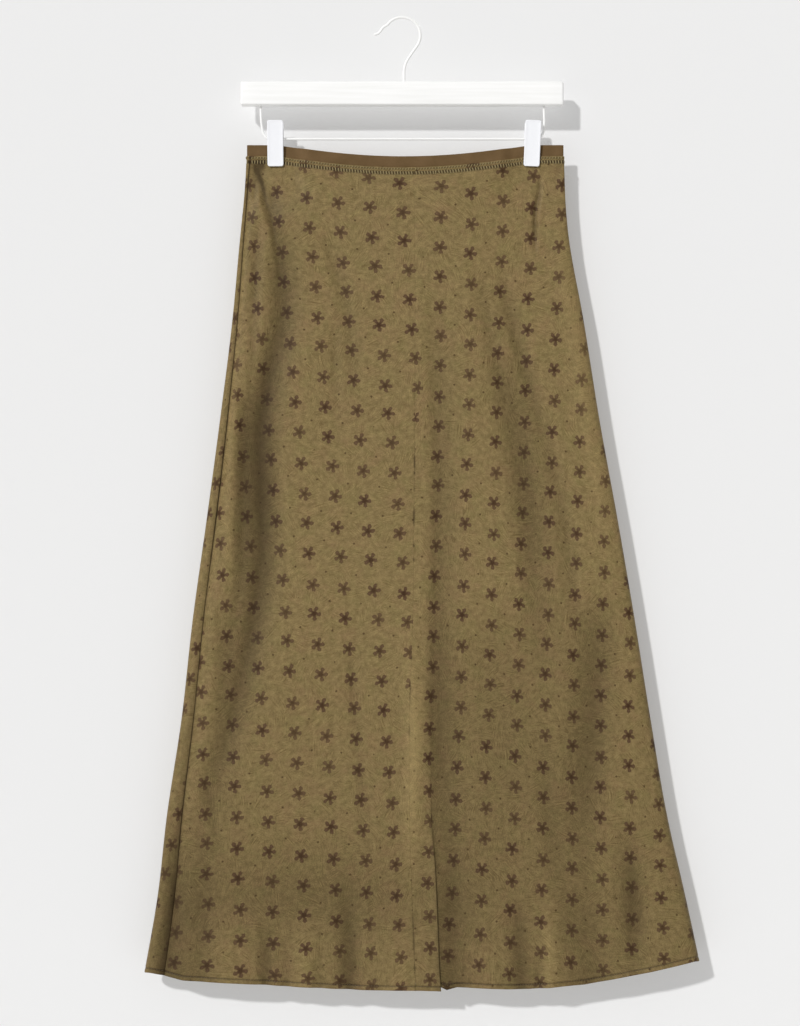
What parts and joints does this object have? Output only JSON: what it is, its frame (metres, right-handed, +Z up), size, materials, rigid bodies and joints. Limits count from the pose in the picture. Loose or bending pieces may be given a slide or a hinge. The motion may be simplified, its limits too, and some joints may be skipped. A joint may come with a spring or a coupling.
{
  "type": "slip skirt on a clip hanger",
  "caption": "Long flared slip skirt with an elastic waist and a small flower print, hanging flat from a bar hanger with spring clips.",
  "frame": {"origin": "inside top of the hanger's hook, where the whole object hangs", "axes": "+Z up from hem to hook, +X to the right as seen from the front, and the skirt's front faces -Y"},
  "size_m": [0.6104, 0.0365, 1.0727],
  "materials": {
    "printed_cloth": "satin-backed crepe in khaki with small dark brown flowers, low sheen",
    "elastic": "ribbed woven elastic, matt brown",
    "painted_wood": "smooth white satin lacquer",
    "painted_wire": "white powder coat",
    "clip_plastic": "glossy white moulded plastic",
    "spring_steel": "bright spring wire"
  },
  "bodies": {
    "root": {"front_left": "printed_cloth", "front_right": "printed_cloth", "back_panel_upper": "printed_cloth", "back_panel_lower": "printed_cloth", "waistband": "elastic", "hanger_bar": "painted_wood", "hanger_hook": "painted_wire", "clip_wire": "painted_wire", "clip_left_front": "clip_plastic", "clip_left_back": "clip_plastic", "clip_right_front": "clip_plastic", "clip_right_back": "clip_plastic", "clip_left_spring": "spring_steel", "clip_right_spring": "spring_steel"}
  },
  "joints": []
}
